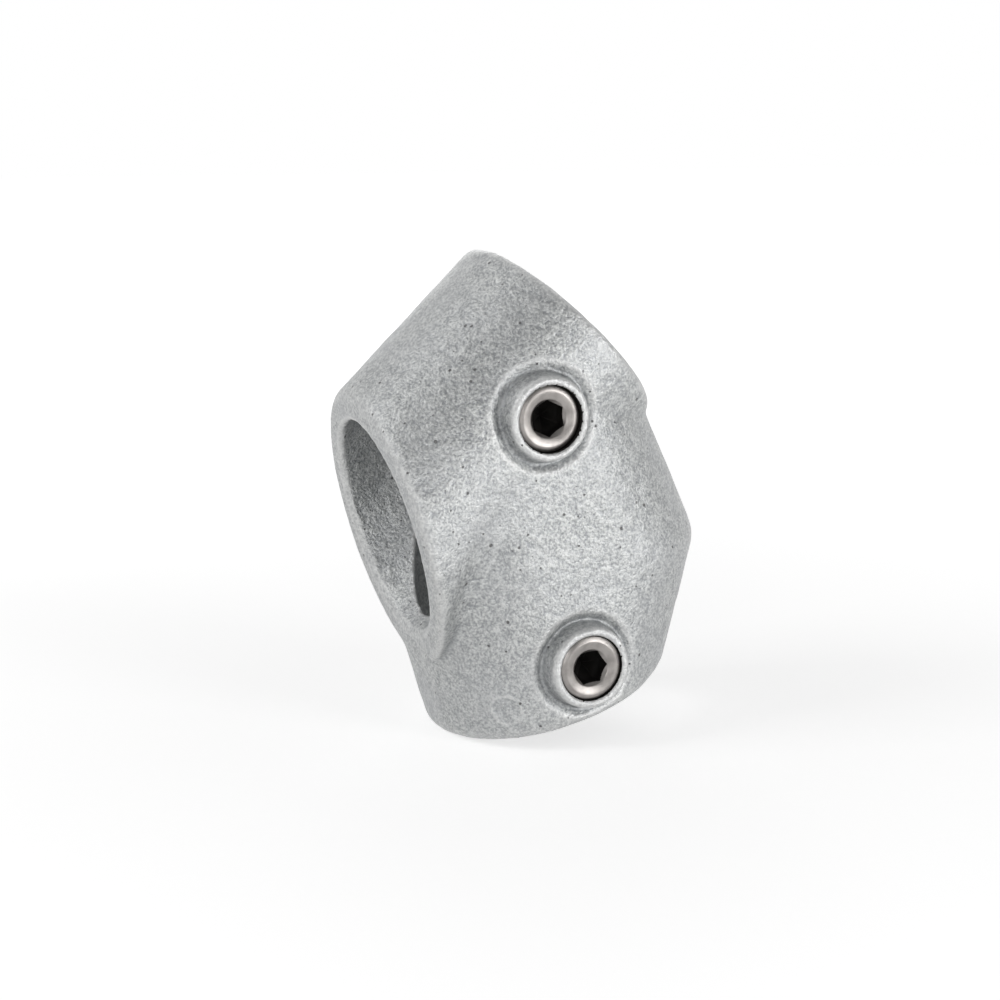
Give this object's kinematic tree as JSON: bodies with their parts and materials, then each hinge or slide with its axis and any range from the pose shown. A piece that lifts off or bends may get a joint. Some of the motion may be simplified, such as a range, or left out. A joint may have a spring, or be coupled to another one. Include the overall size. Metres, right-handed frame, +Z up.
{
  "type": "tube clamp tee fitting",
  "caption": "Cast tube clamp tee: a sleeve for a passing rail tube, a swinging socket for a sloping post tube, and a hexagon set screw on each.",
  "frame": {"origin": "where the rail axis meets the socket axis at mid swing, on the rail bore", "axes": "+Z up the socket axis at mid swing, away from its mouth; the rail runs in the XZ plane at 45 degrees; the screws face -Y"},
  "size_m": [0.0957, 0.0668, 0.1262],
  "materials": {
    "galvanised_casting": "hot-dip galvanised, rough cast grain",
    "screw_steel": "turned stainless, slightly dull"
  },
  "bodies": {
    "root": {"tee_casting": "galvanised_casting", "rail_set_screw": "screw_steel", "post_set_screw": "screw_steel"}
  },
  "joints": []
}
